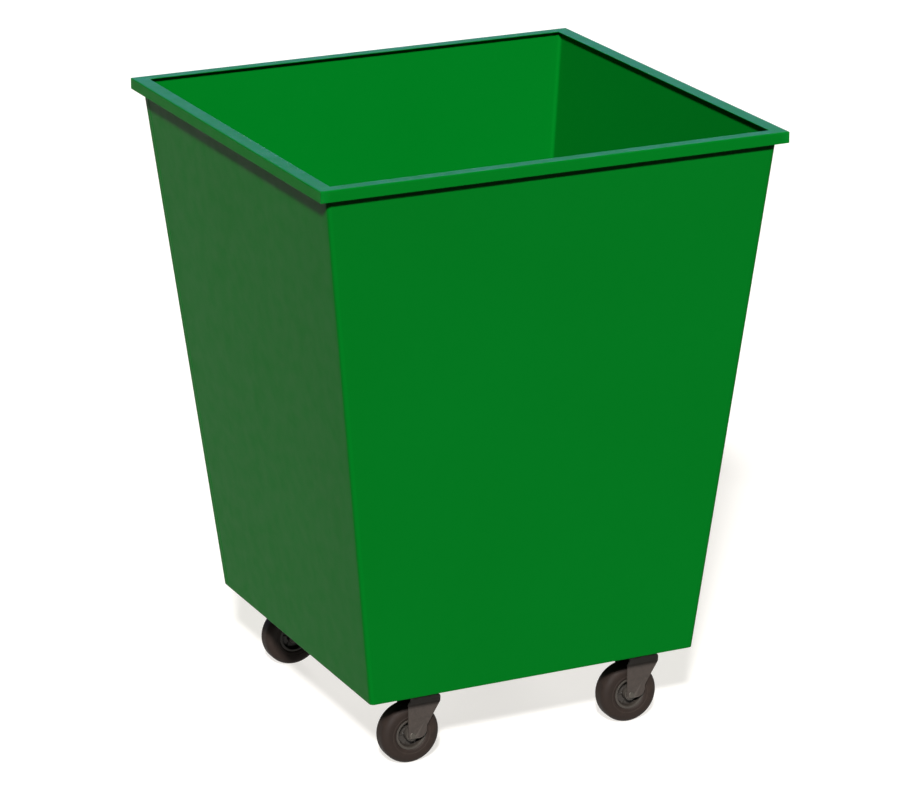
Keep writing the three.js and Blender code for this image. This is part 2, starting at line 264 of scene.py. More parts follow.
def zinc_steel():
    """Dull zinc plating with rust spots."""
    m = Nodes("zinc_steel")
    spangle = m.noise(300, 4, 0.6)
    base = m.mix(m.ramp(spangle, 0.35, 0.65), srgb(70, 66, 61), srgb(90, 85, 78))
    rust = m.math("MULTIPLY", m.ramp(m.noise(70, 5, 0.7), 0.58, 0.75), 0.5)
    base = m.mix(rust, base, srgb(96, 74, 56))
    base = m.mix(m.math("MULTIPLY", m.wear(), 0.35), base, srgb(118, 112, 104))
    m.link(base, m.shader.inputs["Base Color"])
    m.set(Roughness=m.ramp(spangle, 0.3, 0.7, 0.4, 0.55), Metallic=0.6)
    m.bump([(m.noise(900, 2), 0.2, 0.05 * MM)])
    return m.material


def grey_core():
    """Grey moulded plastic with painted shade in the wheel's recess."""
    m = Nodes("grey_core")
    cloud = m.noise(90, 4, 0.6)
    base = m.mix(m.ramp(cloud, 0.3, 0.7), srgb(54, 49, 43), srgb(64, 58, 52))
    # Painted shade: the recess near the wheel's middle plane is darkened as if shade falls there.
    depth = m.node("ShaderNodeMath", operation="ABSOLUTE")
    m.link(m.coordinate("Y"), depth.inputs[0])
    recess_shade = m.ramp(depth.outputs["Value"], *CORE_RECESS_SHADE, 0.85, 0.0)
    base = m.mix(recess_shade, base, srgb(26, 21, 17))
    base = m.mix(m.math("MULTIPLY", m.wear(), 0.3), base, srgb(74, 70, 66))
    m.link(base, m.shader.inputs["Base Color"])
    m.set(Roughness=m.ramp(cloud, 0.3, 0.7, 0.36, 0.48), Metallic=0.0)
    m.shader.inputs["Specular IOR Level"].default_value = 0.3
    m.bump([(m.noise(700, 2), 0.15, 0.08 * MM)])
    return m.material


def black_rubber():
    """Black rubber with brown dust and scuffed edges."""
    m = Nodes("black_rubber")
    cloud = m.noise(60, 4, 0.6)
    base = m.mix(m.ramp(cloud, 0.3, 0.7), srgb(37, 29, 25), srgb(44, 34, 29))
    dust = m.math("MULTIPLY", m.ramp(m.noise(28, 5, 0.7), 0.5, 0.8), 0.12)
    base = m.mix(dust, base, srgb(92, 78, 66))
    scuffs = m.math("MULTIPLY", m.wear(), 0.15)
    base = m.mix(scuffs, base, srgb(86, 76, 68))
    m.link(base, m.shader.inputs["Base Color"])
    m.set(Roughness=m.ramp(cloud, 0.3, 0.7, 0.6, 0.75), Metallic=0.0)
    m.shader.inputs["Specular IOR Level"].default_value = 0.2
    m.bump([(m.noise(800, 3), 0.2, 0.1 * MM), (cloud, 0.1, 0.2 * MM)])
    return m.material


MATERIALS = {
    "green_paint": green_paint(),
    "dark_steel": dark_steel(),
    "zinc_steel": zinc_steel(),
    "grey_core": grey_core(),
    "black_rubber": black_rubber(),
}


# ------------------------------------------------------------------ mesh helpers

SHARP = math.radians(32)
SHARP_ON_WELD = math.radians(60)
SHARP_ON_BALL = math.radians(80)
FULL_WEAR = math.radians(25)
WELD_STEP = 1.6 * MM


def piece(name, mesh, body, finish, place=None, replaced=()):
    """Makes mesh an object that rides on body and wears that finish."""
    mesh.materials.clear()
    mesh.materials.append(MATERIALS[finish])
    obj = bpy.data.objects.new(name, mesh)
    bpy.context.scene.collection.objects.link(obj)
    if place is not None:
        obj.location = place
    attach(obj, body)
    if replaced:
        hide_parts(*replaced)
    return obj


def mesh_from(bm, name, smooth=SHARP):
    """Turns a bmesh into a smooth mesh with sharp creases. `edge` is how sharp each vertex is."""
    bmesh.ops.recalc_face_normals(bm, faces=bm.faces)
    layer = bm.verts.layers.float.new("edge")
    for vertex in bm.verts:
        bends = [edge.calc_face_angle(0.0) for edge in vertex.link_edges]
        vertex[layer] = min(1.0, max(bends, default=0.0) / FULL_WEAR)
    mesh = bpy.data.meshes.new(name)
    bm.to_mesh(mesh)
    bm.free()
    mesh.polygons.foreach_set("use_smooth", [True] * len(mesh.polygons))
    mesh.set_sharp_from_angle(angle=smooth)
    return mesh


def rounded(corners, steps=4):
    """A closed outline whose corners (x, y, radius) are true arcs."""
    points = []
    for index, (x, y, radius) in enumerate(corners):
        here = Vector((x, y))
        if radius <= 0:
            points.append(here)
            continue
        before = (Vector(corners[index - 1][:2]) - here).normalized()
        after = (Vector(corners[(index + 1) % len(corners)][:2]) - here).normalized()
        half = before.angle(after) / 2
        centre = here + (before + after).normalized() * (radius / math.sin(half))
        start = here + before * (radius / math.tan(half)) - centre
        sweep = math.pi - 2 * half
        turn = 1 if before.x * after.y - before.y * after.x < 0 else -1
        for step in range(steps + 1):
            angle = turn * sweep * step / steps
            cos, sin = math.cos(angle), math.sin(angle)
            points.append(centre + Vector((start.x * cos - start.y * sin, start.x * sin + start.y * cos)))
    return points


def skin(bm, loops, ring=False):
    """Faces between neighbouring loops of vertices. A ring also joins the last loop to the first."""
    count = len(loops[0])
    rounds = len(loops) if ring else len(loops) - 1
    for i in range(rounds):
        here, there = loops[i], loops[(i + 1) % len(loops)]
        for j in range(count):
            k = (j + 1) % count
            bm.faces.new((here[j], here[k], there[k], there[j]))
    if not ring:
        bm.faces.new(loops[0])
        bm.faces.new(loops[-1])


def lathe(profile, steps, axis="Z"):
    """Turns (radius, height) points about an axis; a closed ring unless the ends are on the axis."""
    bm = bmesh.new()
    on_axis = profile[0][0] < 1e-9
    body = profile[1:-1] if on_axis else profile
    loops = []
    for step in range(steps):
        cos, sin = math.cos(TAU * step / steps), math.sin(TAU * step / steps)
        places = [(r * cos, r * sin, h) if axis == "Z" else (r * cos, h, r * sin) for r, h in body]
        loops.append([bm.verts.new(place) for place in places])
    ring = len(body)
    for step in range(steps):
        here, there = loops[step], loops[(step + 1) % steps]
        for j in range(ring - 1 if on_axis else ring):
            k = (j + 1) % ring
            bm.faces.new((here[j], here[k], there[k], there[j]))
    if on_axis:
        for end, height in ((0, profile[0][1]), (-1, profile[-1][1])):
            tip = bm.verts.new((0, 0, height) if axis == "Z" else (0, height, 0))
            for step in range(steps):
                bm.faces.new((loops[step][end], loops[(step + 1) % steps][end], tip))
    bmesh.ops.recalc_face_normals(bm, faces=bm.faces)
    return bm


def prism(outline, low, high, axes="XYZ"):
    """An outline extruded from low to high. axes says which axis each of (first, second, depth) is."""
    bm = bmesh.new()

    def put(first, second, depth):
        place = dict(zip(axes, (first, second, depth)))
        return bm.verts.new((place["X"], place["Y"], place["Z"]))

    skin(bm, [[put(p[0], p[1], depth) for p in outline] for depth in (low, high)])
    bmesh.ops.recalc_face_normals(bm, faces=bm.faces)
    return bm


def applied(mesh, *modifiers):
    """The mesh after modifiers, each (kind, settings)."""
    obj = bpy.data.objects.new("working", mesh)
    bpy.context.scene.collection.objects.link(obj)
    for kind, settings in modifiers:
        modifier = obj.modifiers.new(kind, kind)
        for key, value in settings.items():
            setattr(modifier, key, value)
    graph = bpy.context.evaluated_depsgraph_get()
    result = bpy.data.meshes.new_from_object(obj.evaluated_get(graph))
    bpy.data.objects.remove(obj)
    return result


def combined(base, others):
    """Joins or cuts bmeshes: others is a list of (operation, bmesh)."""
    mesh = bpy.data.meshes.new("base")
    base.to_mesh(mesh)
    base.free()
    for operation, other in others:
        tool_mesh = bpy.data.meshes.new("tool")
        other.to_mesh(tool_mesh)
        other.free()
        tool = bpy.data.objects.new("tool", tool_mesh)
        bpy.context.scene.collection.objects.link(tool)
        settings = {"operation": operation, "solver": "EXACT", "object": tool}
        mesh = applied(mesh, ("BOOLEAN", settings))
        bpy.data.objects.remove(tool)
    bm = bmesh.new()
    bm.from_mesh(mesh)
    bmesh.ops.remove_doubles(bm, verts=bm.verts, dist=0.005 * MM)
    bmesh.ops.dissolve_limit(bm, angle_limit=math.radians(1), verts=bm.verts, edges=bm.edges)
    return bm


def softened(bm, name, width):
    """Rounds every crease of bm by width and returns the mesh. Wide faces get a narrow border."""
    mesh = bpy.data.meshes.new(name)
    bm.to_mesh(mesh)
    bm.free()
    settings = {
        "width": width,
        "segments": 2,
        "limit_method": "ANGLE",
        "angle_limit": math.radians(40),
        "use_clamp_overlap": True,
    }
    result = bmesh.new()
    result.from_mesh(applied(mesh, ("BEVEL", settings)))
    bmesh.ops.recalc_face_normals(result, faces=result.faces)
    wide_area = 100 * MM * MM
    border = 0.9 * MM
    wide = [face for face in result.faces if face.calc_area() > wide_area]
    bmesh.ops.inset_individual(result, faces=wide, thickness=border, use_even_offset=True)
    return mesh_from(result, name)


def bead(bm, path, outward, width, height):
    """Adds a weld bead along path, with a ripple every four points, standing out along outward(point)."""
    loops = []
    across_steps = 5
    ripple = 0.35
    for index, here in enumerate(path):
        ahead = path[min(index + 1, len(path) - 1)] - path[max(index - 1, 0)]
        normal = outward(here).normalized()
        side = ahead.cross(normal).normalized()
        end = min(index, len(path) - 1 - index)
        taper = min(1.0, (end + 0.5) / 2.5)
        wave = 1 - ripple * (0.5 + 0.5 * math.cos(index * math.pi / 2))
        wander = 1 + 0.12 * noise.noise(here * 90)
        loop = []
        for step in range(across_steps + 1):
            angle = math.pi * step / across_steps
            across = math.cos(angle) * width / 2 * wander * (0.6 + 0.4 * taper)
            rise = math.sin(angle) * height * wave * taper
            loop.append(bm.verts.new(here + side * across + normal * rise))
        loop.append(bm.verts.new(here - normal * 0.4 * MM))
        loops.append(loop)
    skin(bm, loops)


def between(start, end, step):
    count = max(2, round((end - start).length / step))
    return [start.lerp(end, i / count) for i in range(count + 1)]


# ------------------------------------------------------------------ tub

def sheet_section(low, high, rows):
    """The sheet's closed section as (height, depth below the outer face), with rounded edges."""
    radius = 0.5 * MM
    margin = 4 * MM
    run = high - low - 2 * margin
    heights = [low + margin + run * i / rows for i in range(rows + 1)]
    corners = [(low, 0, radius), (high, 0, radius), (high, SHEET, radius), (low, SHEET, radius)]
    arcs = rounded(corners, 2)
    outer_face = [(z, 0.0) for z in heights]
    inner_face = [(z, SHEET) for z in reversed(heights)]
    return [*arcs[:3], *outer_face, *arcs[3:9], *inner_face, *arcs[9:]]


def bow(along, rise, seed):
    """How far a panel of thin sheet stands out or in, fixed at its edges."""
    hold = math.sin(math.pi * along) * math.sin(math.pi * min(1.0, max(0.0, rise)))
    wave = noise.noise(Vector((along * 1.7, rise * 1.9, seed))) + 0.4 * noise.noise(
        Vector((along * 4.1, rise * 4.3, seed + 9))
    )
    return 0.9 * MM * hold * wave


def wall_station(kind, value, z):
    """Outer point, outward direction and bow of the front-left sheet at one place along it."""
    half = wall_half(z)
    flat_x, flat_y = half.x - BEND_RADIUS, half.y - BEND_RADIUS
    seam = flat_y - SEAM_SETBACK
    rise = (z - WALL_LOW) / (WALL_HIGH - WALL_LOW)
    if kind == "return":
        return Vector((half.x, -seam - GAP / 2 + (seam - flat_y) * value)), Vector((1, 0))
    if kind == "bend":
        side, angle = value
        outward = Vector((math.cos(angle), math.sin(angle)))
        return Vector((side * flat_x, -flat_y)) + outward * BEND_RADIUS, outward
    if kind == "front":
        out = bow(value, rise, 3.0)
        return Vector((flat_x * (1 - 2 * value), -half.y - out)), Vector((0, -1))
    out = bow(value, rise, 7.0)
    return Vector((-half.x - out, -flat_y + (flat_y + seam - GAP / 2) * value)), Vector((-1, 0))


def wall_sheet(name, replaced, turn):
    bend_steps, panel_steps, rows = 8, 26, 26
    margin = 0.012  # share of a panel beside each bend, kept as one narrow strip
    spread = [margin + (1 - 2 * margin) * i / panel_steps for i in range(panel_steps + 1)]
    stations = [("return", value) for value in (0.0, 0.1, 0.9)]
    stations += [("bend", (1, -math.pi / 2 * i / bend_steps)) for i in range(bend_steps + 1)]
    stations += [("front", value) for value in spread]
    stations += [("bend", (-1, -math.pi / 2 * (1 + i / bend_steps))) for i in range(bend_steps + 1)]
    stations += [("left", value) for value in [*spread, 1.0]]
    section = sheet_section(WALL_LOW, WALL_HIGH, rows)
    bm = bmesh.new()
    loops = []
    for kind, value in stations:
        loop = []
        for z, depth in section:
            outer, outward = wall_station(kind, value, z)
            place = outer - outward * depth
            loop.append(bm.verts.new((place.x, place.y, z)))
        loops.append(loop)
    skin(bm, loops)
    bm.transform(Matrix.Rotation(turn, 4, "Z"))
    piece(name, mesh_from(bm, name), "tub", "green_paint", replaced=[replaced])


def seam_bead(name, turn):
    """The upright butt weld beside a bend, ground almost flush."""
    def at(z):
        outer, _ = wall_station("return", 0.0, z)
        return Vector((outer.x, outer.y + GAP / 2, z))

    bm = bmesh.new()
    path = between(at(WALL_LOW + 1 * MM), at(WALL_HIGH - 1 * MM), WELD_STEP)
    bead(bm, path, lambda here: Vector((1, 0, 0)), 5 * MM, 0.5 * MM)
    bm.transform(Matrix.Rotation(turn, 4, "Z"))
    piece(name, mesh_from(bm, name, SHARP_ON_WELD), "tub", "green_paint")


def rail_profile(leg):
    """The rim's section: (inwards from the skirt's face, height from the rim's top)."""
    edge = 0.5 * MM
    bend = 2 * MM
    beside = 1.6 * MM
    return rounded([
        (0, -RIM_SKIRT, edge),
        (SHEET, -RIM_SKIRT, edge),
        (SHEET, -SHEET, edge),
        (leg, -SHEET, edge),
        (leg, 0, edge),
        (leg - edge - beside, 0, 0),
        (bend + beside, 0, 0),
        (0, 0, bend),
        (0, -bend - beside, 0),
        (0, edge + beside - RIM_SKIRT, 0),
    ], 5)


def rim_rail(name, length, offset, leg, next_leg, side):
    """One rail, mitred at both ends to rails with the leg next_leg."""
    steps = 24
    bm = bmesh.new()
    loops = []
    for step in range(steps + 1):
        share = 2 * step / steps - 1
        loop = []
        for inwards, up in rail_profile(leg):
            reach = (length / 2 - inwards * next_leg / leg - GAP) * share
            loop.append(bm.verts.new((reach, inwards - offset, RIM_TOP + up)))
        loops.append(loop)
    skin(bm, loops)
    bm.transform(Matrix.Rotation(side * math.pi / 2, 4, "Z"))
    piece(name + "_angle", mesh_from(bm, name), "tub", "green_paint", replaced=[name])


def rim_corner_welds():
    """A bead in each mitre of the rim and down the corner of its skirt, ground flush."""
    depth = 0.5 * MM  # below the rim's top, so that the bead ends just under it
    welded_share = 0.88
    inset = 1.3 * MM
    bm = bmesh.new()
    for sign_x in (-1, 1):
        for sign_y in (-1, 1):
            corner = Vector((sign_x * (RIM_HALF_X - SHEET), sign_y * (RIM_HALF_Y - SHEET), RIM_TOP - depth))
            run = Vector((sign_x * SIDE_LEG, sign_y * FRONT_LEG, 0))
            inner = corner - run * welded_share
            bead(bm, between(inner, corner, WELD_STEP), lambda here: Vector((0, 0, 1)), 3 * MM, 0.46 * MM)
            top = Vector((sign_x * (RIM_HALF_X - inset), sign_y * (RIM_HALF_Y - inset), RIM_TOP - 3 * MM))
            foot = top - Vector((0, 0, RIM_SKIRT - 4 * MM))
            out = Vector((sign_x, sign_y, 0))
            bead(bm, between(foot, top, WELD_STEP), lambda here, out=out: out, 2 * MM, 0.9 * MM)
    piece("rim_corner_welds", mesh_from(bm, "rim_corner_welds", SHARP_ON_WELD), "tub", "green_paint")


def rim_stitch_welds():
    """Short fillets under the rim's leg, where the walls end."""
    stitch, pitch = 40 * MM, 150 * MM
    z = WALL_HIGH - 1.2 * MM
    half = wall_half(z)
    bm = bmesh.new()
    for axis, sign in ((0, 1), (0, -1), (1, 1), (1, -1)):
        run = half[1 - axis] - 30 * MM
        out = Vector((sign, 0, -1)) if axis == 0 else Vector((0, sign, -1))
        count = int(2 * run / pitch)
        for i in range(count):
            centre = (i - (count - 1) / 2) * pitch
            ends = []
            for shift in (-stitch / 2, stitch / 2):
                place = Vector((0, 0, z))
                place[axis] = sign * (half[axis] + 0.8 * MM)
                place[1 - axis] = centre + shift
                ends.append(place)
            bead(bm, between(*ends, WELD_STEP), lambda here, out=out: out, 4.5 * MM, 1.6 * MM)
    piece("rim_stitch_welds", mesh_from(bm, "rim_stitch_welds", SHARP_ON_WELD), "tub", "green_paint")


def floor_weld():
    """The fillet along the floor plate's edge, inside the tub."""
    z = FLOOR_TOP + 0.6 * MM
    half = wall_half(z)
    x, y = half.x - SHEET - 0.8 * MM, half.y - SHEET - 0.8 * MM
    short = 8 * MM  # each run ends this far from the corner
    runs = (
        ((x, short - y), (x, y - short)),
        ((x - short, y), (short - x, y)),
        ((-x, y - short), (-x, short - y)),
        ((short - x, -y), (x - short, -y)),
    )
    bm = bmesh.new()
    for start, end in runs:
        start, end = Vector((*start, z)), Vector((*end, z))
        side = (start + end) / 2
        inwards = Vector((-side.x, -side.y, 0)).normalized() + Vector((0, 0, 1))
        bead(bm, between(start, end, 2.5 * MM), lambda here, inwards=inwards: inwards, 5 * MM, 1.6 * MM)
    piece("floor_fillet_weld", mesh_from(bm, "floor_fillet_weld", SHARP_ON_WELD), "tub", "green_paint")


def make_tub():
    wall_sheet("front_left_panel", "front_left_wall_sheet", 0)
    wall_sheet("back_right_panel", "back_right_wall_sheet", math.pi)
    seam_bead("front_right_seam_weld", 0)
    seam_bead("back_left_seam_weld", math.pi)
    along_x = (2 * RIM_HALF_X, RIM_HALF_Y, FRONT_LEG, SIDE_LEG)
    along_y = (2 * RIM_HALF_Y, RIM_HALF_X, SIDE_LEG, FRONT_LEG)
    for side, end in enumerate(("front", "right", "back", "left")):
        sizes = along_x if end in ("front", "back") else along_y
        rim_rail("rim_rail_" + end, *sizes, side)
    rim_corner_welds()
    rim_stitch_welds()
    floor_weld()


# ------------------------------------------------------------------ casters, about the swivel axis

FIRST = "front_left_"
AXIS = middle(FIRST + "kingpin")
WHEEL = middle(FIRST + "tyre")
TRAIL = AXIS.x - WHEEL.x
AXLE_HEIGHT = WHEEL.z
WHEEL_RADIUS = size(FIRST + "tyre").z / 2
TYRE_HALF = size(FIRST + "tyre").y / 2

PLATE_SIZE = size(FIRST + "caster_plate")
PLATE_CORNER = 6 * MM
PLATE_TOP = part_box(FIRST + "caster_plate")[1].z
PLATE_BOTTOM = PLATE_TOP - 3 * MM
SKIRT_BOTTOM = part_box(FIRST + "caster_plate")[0].z
PAD_SIZE = size(FIRST + "mounting_pad")
PAD_CORNER = 8 * MM
PAD_RELIEF_RADIUS = 12 * MM
PAD_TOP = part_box(FIRST + "mounting_pad")[1].z
STUD_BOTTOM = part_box(FIRST + "mounting_pad")[0].z
STUD_X, STUD_Y, STUD_RADIUS = 40 * MM, 30 * MM, 4 * MM
STUD_HOLE = 4.5 * MM
M8_FLATS = 13 * MM
WASHER = {"radius": 8 * MM, "thickness": 1.2 * MM}
PLATE_NUT_HEIGHT = 4.6 * MM
TOUCH = 0.1 * MM  # left between pieces that are clamped together
PIN_RADIUS = 5 * MM
PIN_HOLE = PIN_RADIUS + GAP

CROWN_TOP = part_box(FIRST + "fork")[1].z
CROWN_BOTTOM = CROWN_TOP - 3 * MM
FORK_HALF = size(FIRST + "fork").y / 2
FORK_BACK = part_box(FIRST + "fork")[0].x - AXIS.x
FORK_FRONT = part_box(FIRST + "fork")[1].x - AXIS.x
FORK_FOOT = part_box(FIRST + "fork")[0].z
FORK_SHEET = 3 * MM
AXLE_RADIUS = 4 * MM
AXLE_HOLE = AXLE_RADIUS + GAP


def rounded_rectangle(width, depth, radius, steps=6):
    x, y = width / 2, depth / 2
    return rounded([(x, y, radius), (-x, y, radius), (-x, -y, radius), (x, -y, radius)], steps)


def stud_places():
    return [Vector((sx * STUD_X, sy * STUD_Y, 0)) for sx, sy in ((1, 1), (-1, 1), (-1, -1), (1, -1))]


def moved(bm, place):
    bm.transform(Matrix.Translation(place))
    return bm


def joined(bms):
    """One bmesh holding several separate closed solids."""
    whole = bmesh.new()
    for bm in bms:
        mesh = bpy.data.meshes.new("part")
        bm.to_mesh(mesh)
        bm.free()
        whole.from_mesh(mesh)
        bpy.data.meshes.remove(mesh)
    return whole


def column(radius, low, high, steps=40, axis="Z"):
    return lathe([(0, low), (radius, low), (radius, high), (0, high)], steps, axis)


def threaded(radius, low, high, pitch):
    """An upright rod with ridges like a thread's and a chamfered lower end."""
    depth = 0.55 * pitch
    profile = [(0, low), (radius - depth, low), (radius - 0.2 * depth, low + 0.6 * pitch)]
    z = low + pitch
    while z < high - pitch:
        profile += [(radius, z), (radius, z + 0.2 * pitch), (radius - depth, z + 0.6 * pitch)]
        z += pitch
    profile += [(radius, z), (radius, high), (0, high)]
    return lathe(profile, 28)


def hex_nut(across_flats, low, high, hole, axis="Z"):
    """A hexagon nut with chamfered corners and a plain hole."""
    corner = across_flats / math.sqrt(3)
    chamfer = 0.07 * across_flats
    outline = [(corner * math.cos(TAU * i / 6), corner * math.sin(TAU * i / 6)) for i in range(6)]
    axes = "XYZ" if axis == "Z" else "XZY"
    hexagon = prism(outline, low, high, axes)
    cap = across_flats / 2 + 0.1 * chamfer
    dome = lathe([
        (0, low), (cap, low), (corner + 0.2 * chamfer, low + 0.7 * chamfer),
        (corner + 0.2 * chamfer, high - 0.7 * chamfer), (cap, high), (0, high),
    ], 48, axis)
    bore = column(hole, low - 1 * MM, high + 1 * MM, 24, axis)
    return combined(hexagon, [("INTERSECT", dome), ("DIFFERENCE", bore)])


def pad_mesh():
    outline = rounded_rectangle(PAD_SIZE.x, PAD_SIZE.y, PAD_CORNER)
    low = PLATE_TOP + GAP
    pad = prism(outline, low, PAD_TOP)
    relief = column(PAD_RELIEF_RADIUS, low - 1 * MM, PAD_TOP + 1 * MM)
    return softened(combined(pad, [("DIFFERENCE", relief)]), "mounting_pad", 0.8 * MM)


def pad_weld_mesh():
    """The fillet between the pad's upper edge and the tub's underside."""
    def outward(here):
        return Vector((here.x, here.y, 0)).normalized() - Vector((0, 0, 1))

    z = PAD_TOP - 0.8 * MM
    outline = rounded_rectangle(PAD_SIZE.x, PAD_SIZE.y, PAD_CORNER, 4)
    path = []
    for index, here in enumerate(outline):
        there = outline[(index + 1) % len(outline)]
        path += between(Vector((*here, z)), Vector((*there, z)), 1.8 * MM)[:-1]
    bm = bmesh.new()
    bead(bm, path, outward, 5 * MM, 1.6 * MM)
    return mesh_from(bm, "pad_weld", SHARP_ON_WELD)


def studs_mesh():
    rods = [moved(threaded(STUD_RADIUS, STUD_BOTTOM, PLATE_TOP + 0.1 * MM, 1.25 * MM), place)
            for place in stud_places()]
    return mesh_from(joined(rods), "studs")


def plate_nuts_mesh():
    washer_top = PLATE_BOTTOM - TOUCH
    washer_bottom = washer_top - WASHER["thickness"]
    nut_top = washer_bottom - TOUCH
    hole, radius, edge = STUD_RADIUS + GAP, WASHER["radius"], 0.3 * MM
    parts = []
    for index, place in enumerate(stud_places()):
        ring = rounded([
            (hole, washer_bottom, edge), (radius, washer_bottom, edge),
            (radius, washer_top, edge), (hole, washer_top, edge),
        ], 2)
        parts.append(moved(lathe([tuple(p) for p in ring], 32), place))
        nut = hex_nut(M8_FLATS, nut_top - PLATE_NUT_HEIGHT, nut_top, STUD_RADIUS + 0.05 * MM)
        nut.transform(Matrix.Rotation(0.35 + 0.5 * index, 4, "Z"))
        parts.append(moved(nut, place))
    return mesh_from(joined(parts), "plate_nuts")


def plate_mesh():
    """The top plate with its pressed race and the dust skirt round the balls."""
    race_bottom = PLATE_BOTTOM - 4.9 * MM
    skirt_inner, skirt_outer, flare = 20.3 * MM, 23.5 * MM, 28 * MM
    profile = rounded([
        (0, race_bottom, 0), (skirt_inner, race_bottom, 1 * MM), (skirt_inner, SKIRT_BOTTOM, 0.5 * MM),
        (skirt_outer, SKIRT_BOTTOM, 0.8 * MM), (skirt_outer, PLATE_BOTTOM, 2 * MM),
        (flare, PLATE_BOTTOM + 0.2 * MM, 0), (flare, PLATE_BOTTOM + 1 * MM, 0),
        (0, PLATE_BOTTOM + 1 * MM, 0),
    ], 4)
    race = lathe([tuple(p) for p in profile], 72)
    outline = rounded_rectangle(PLATE_SIZE.x, PLATE_SIZE.y, PLATE_CORNER)
    plate = prism(outline, PLATE_BOTTOM, PLATE_TOP)
    cuts = [("UNION", race), ("DIFFERENCE", column(PIN_HOLE, race_bottom - 1 * MM, PLATE_TOP + 1 * MM))]
    for place in stud_places():
        hole = moved(column(STUD_HOLE, PLATE_BOTTOM - 1 * MM, PLATE_TOP + 1 * MM, 24), place)
        cuts.append(("DIFFERENCE", hole))
    return softened(combined(plate, cuts), "caster_plate", 0.6 * MM)


def kingpin_mesh():
    low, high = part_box(FIRST + "kingpin")[0].z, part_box(FIRST + "kingpin")[1].z
    seat = PLATE_TOP + GAP
    head = 9 * MM
    depth = 0.5 * MM
    profile = [(0, low), (PIN_RADIUS - 0.8 * MM, low)]
    z = low + 0.8 * MM
    while z < low + 7 * MM:
        profile += [(PIN_RADIUS, z), (PIN_RADIUS - depth, z + 0.7 * MM)]
        z += 1.25 * MM
    profile += [(PIN_RADIUS, z), (PIN_RADIUS, seat), (head, seat), (head, high - 1 * MM),
                (head - 1 * MM, high), (0, high)]
    return mesh_from(lathe(profile, 32), "kingpin")


def kingpin_nut_mesh():
    low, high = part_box(FIRST + "kingpin_nut")[0].z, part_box(FIRST + "kingpin_nut")[1].z
    flats = 15.9 * MM
    return mesh_from(hex_nut(flats, low, high, PIN_RADIUS + TOUCH), "kingpin_nut")


def cup_mesh():
    low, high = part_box(FIRST + "lower_cup")[0].z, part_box(FIRST + "lower_cup")[1].z
    radius = size(FIRST + "lower_cup").x / 2
    inner = radius - 2 * MM
    floor = low + 2.6 * MM
    profile = rounded([
        (PIN_HOLE, low, 0), (radius, low, 2 * MM), (radius, high, 0.8 * MM),
        (inner, high, 0.8 * MM), (inner, floor, 0.8 * MM), (PIN_HOLE, floor, 0),
    ], 5)
    return mesh_from(lathe([tuple(p) for p in profile], 64), "lower_cup")


def ball_ring_mesh(node, count):
    """The balls of one race, standing side by side."""
    low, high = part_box(FIRST + node)
    ball = (high.z - low.z) / 2
    ring = (high.x - low.x) / 2 - ball
    height = (low.z + high.z) / 2
    balls = []
    for i in range(count):
        bm = bmesh.new()
        bmesh.ops.create_uvsphere(bm, u_segments=12, v_segments=8, radius=ball * 0.98)
        angle = TAU * i / count
        balls.append(moved(bm, Vector((ring * math.cos(angle), ring * math.sin(angle), height))))
    return mesh_from(joined(balls), node, SHARP_ON_BALL)


def fork_mesh():
    """A strap folded over the wheel, cut to the fork's side outline."""
    side = rounded([
        (FORK_BACK, FORK_FOOT, 4 * MM), (1.3 * MM, FORK_FOOT, 17 * MM),
        (1.5 * MM, 80 * MM, 6 * MM), (FORK_FRONT - 1 * MM, 127.5 * MM, 5 * MM),
        (FORK_FRONT, CROWN_TOP, 8 * MM), (FORK_BACK + 6 * MM, CROWN_TOP, 1 * MM),
        (FORK_BACK + 6 * MM, 138 * MM, 3 * MM), (FORK_BACK, 128 * MM, 3 * MM),
    ], 6)
    inner, low = FORK_HALF - FORK_SHEET, FORK_FOOT - 10 * MM
    front = rounded([
        (FORK_HALF, low, 0), (FORK_HALF, CROWN_TOP, 4 * MM),
        (-FORK_HALF, CROWN_TOP, 4 * MM), (-FORK_HALF, low, 0),
        (-inner, low, 0), (-inner, CROWN_BOTTOM, 1 * MM),
        (inner, CROWN_BOTTOM, 1 * MM), (inner, low, 0),
    ], 6)
    reach = 80 * MM
    strap = prism(front, -reach, reach, "YZX")
    outline = prism(side, -reach, reach, "XZY")
    pin_hole = column(PIN_HOLE, CROWN_BOTTOM - 1 * MM, CROWN_TOP + 1 * MM)
    bore = moved(column(AXLE_HOLE, -reach, reach, 32, "Y"), Vector((-TRAIL, 0, AXLE_HEIGHT)))
    shape = combined(strap, [("INTERSECT", outline), ("DIFFERENCE", pin_hole), ("DIFFERENCE", bore)])
    return softened(shape, "fork", 0.6 * MM)


# ------------------------------------------------------------------ wheel, about its axle

def axle_mesh():
    low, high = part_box(FIRST + "axle")[0].y - AXIS.y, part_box(FIRST + "axle")[1].y - AXIS.y
    face = -FORK_HALF - GAP
    head = size(FIRST + "axle").z / 2
    dome = [(head * math.sin(a), face - 0.6 * MM + (low - face + 0.6 * MM) * math.cos(a))
            for a in (math.pi / 2 * i / 8 for i in range(1, 9))]
    profile = [(0, low), *dome, (head, face), (AXLE_RADIUS, face), (AXLE_RADIUS, high - 0.8 * MM),
               (AXLE_RADIUS - 0.8 * MM, high), (0, high)]
    return mesh_from(lathe(profile, 40, "Y"), "axle")


def axle_nut_mesh():
    low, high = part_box(FIRST + "axle_nut")[0].y - AXIS.y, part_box(FIRST + "axle_nut")[1].y - AXIS.y
    return mesh_from(hex_nut(M8_FLATS, low, high, AXLE_RADIUS + TOUCH, "Y"), "axle_nut")


